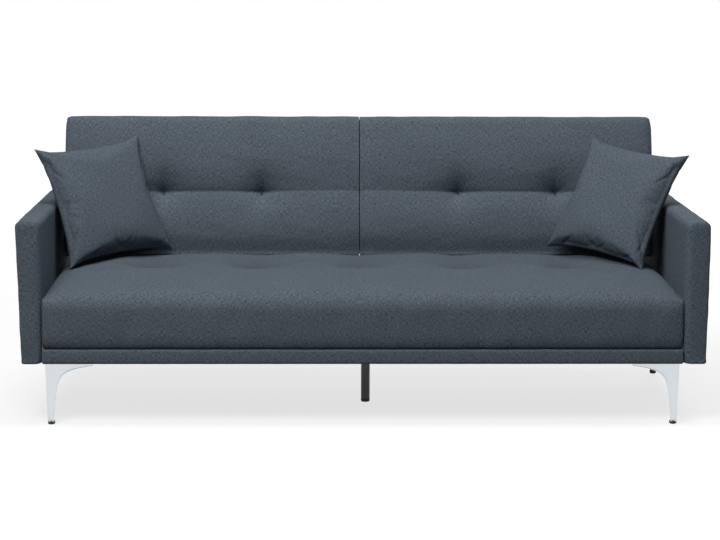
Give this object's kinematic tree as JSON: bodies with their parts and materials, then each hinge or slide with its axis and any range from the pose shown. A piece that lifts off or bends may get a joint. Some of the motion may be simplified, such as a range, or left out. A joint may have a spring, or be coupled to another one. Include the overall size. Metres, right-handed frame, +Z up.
{
  "type": "futon sofa bed",
  "caption": "Sofa bed with a fixed tufted seat, slab arms, a split back whose halves recline flat on ratchet hinges, bracket legs, a centre leg and throw pillows.",
  "frame": {"origin": "on the floor, under the middle of the sofa's overall width and depth", "axes": "+X to the sitter's left-hand side as seen from the front (viewer's right), +Y to the rear, +Z up"},
  "size_m": [1.99, 0.845, 0.8459],
  "materials": {
    "upholstery": "matte",
    "foam": "matte",
    "pillow_filling": "matte",
    "felt": "matte",
    "dust_cloth": "matte",
    "tuft_cord": "matte",
    "frame_wood": "matte",
    "slat_wood": "satin",
    "plywood": "matte",
    "leg_chrome": "satin",
    "black_enamel": "gloss",
    "hinge_steel": "satin",
    "spring_steel": "satin",
    "fastener_zinc": "satin",
    "black_plastic": "matte",
    "black_rubber": "matte"
  },
  "bodies": {
    "base": {"front_rail": "frame_wood", "rear_rail": "frame_wood", "left_side_rail": "frame_wood", "right_side_rail": "frame_wood", "hinge_rail": "frame_wood", "centre_stretcher": "frame_wood", "seat_slats": "slat_wood", "slat_holders": "black_plastic", "deck_pad": "felt", "seat_foam": "foam", "seat_cover": "upholstery", "seat_tuft_ties": "tuft_cord", "front_border": "upholstery", "rear_rail_cover": "upholstery", "dust_cover": "dust_cloth", "rest_buffers": "black_rubber", "left_arm_frame": "frame_wood", "left_arm_padding": "foam", "left_arm_cover": "upholstery", "right_arm_frame": "frame_wood", "right_arm_padding": "foam", "right_arm_cover": "upholstery", "arm_bolts": "fastener_zinc", "front_left_leg": "leg_chrome", "front_right_leg": "leg_chrome", "rear_left_leg": "leg_chrome", "rear_right_leg": "leg_chrome", "leg_glides": "black_plastic", "leg_screws": "fastener_zinc", "centre_leg": "black_enamel", "centre_leg_plate": "black_enamel", "centre_leg_foot": "black_rubber", "left_seat_brackets": "hinge_steel", "right_seat_brackets": "hinge_steel", "hinge_pins": "fastener_zinc", "hinge_nuts": "fastener_zinc", "bracket_screws": "fastener_zinc", "left_pawl_springs": "spring_steel", "right_pawl_springs": "spring_steel"},
    "left_back": {"left_back_frame": "frame_wood", "left_back_board": "plywood", "left_back_foam": "foam", "left_back_cover": "upholstery", "left_back_tuft_ties": "tuft_cord", "left_back_brackets": "hinge_steel", "left_back_screws": "fastener_zinc"},
    "right_back": {"right_back_frame": "frame_wood", "right_back_board": "plywood", "right_back_foam": "foam", "right_back_cover": "upholstery", "right_back_tuft_ties": "tuft_cord", "right_back_brackets": "hinge_steel", "right_back_screws": "fastener_zinc"},
    "left_pawls": {"left_pawls": "hinge_steel"},
    "right_pawls": {"right_pawls": "hinge_steel"},
    "left_pillow": {"left_pillow_cover": "upholstery", "left_pillow_insert": "pillow_filling"},
    "right_pillow": {"right_pillow_cover": "upholstery", "right_pillow_insert": "pillow_filling"}
  },
  "joints": [
    {"name": "left_back_recline", "type": "hinge", "parent": "base", "child": "left_back", "pos_m": [0, 0.195, 0.4], "axis": [-1, 0, 0], "range_deg": [0, 77]},
    {"name": "right_back_recline", "type": "hinge", "parent": "base", "child": "right_back", "pos_m": [0, 0.195, 0.4], "axis": [-1, 0, 0], "range_deg": [0, 77]},
    {"name": "left_pawls_lift", "type": "hinge", "parent": "base", "child": "left_pawls", "pos_m": [0, 0.175, 0.376], "axis": [-1, 0, 0], "range_deg": [0, 7], "stiffness_Nm_per_rad": 0.1, "springref_deg": -85.94, "deforming": ["left_pawl_springs"]},
    {"name": "right_pawls_lift", "type": "hinge", "parent": "base", "child": "right_pawls", "pos_m": [0, 0.175, 0.376], "axis": [-1, 0, 0], "range_deg": [0, 7], "stiffness_Nm_per_rad": 0.1, "springref_deg": -85.94, "deforming": ["right_pawl_springs"]},
    {"name": "left_pillow_lift", "type": "slide", "parent": "base", "child": "left_pillow", "axis": [0, 0, 1], "range_m": [0, 0.3]},
    {"name": "right_pillow_lift", "type": "slide", "parent": "base", "child": "right_pillow", "axis": [0, 0, 1], "range_m": [0, 0.3]}
  ]
}
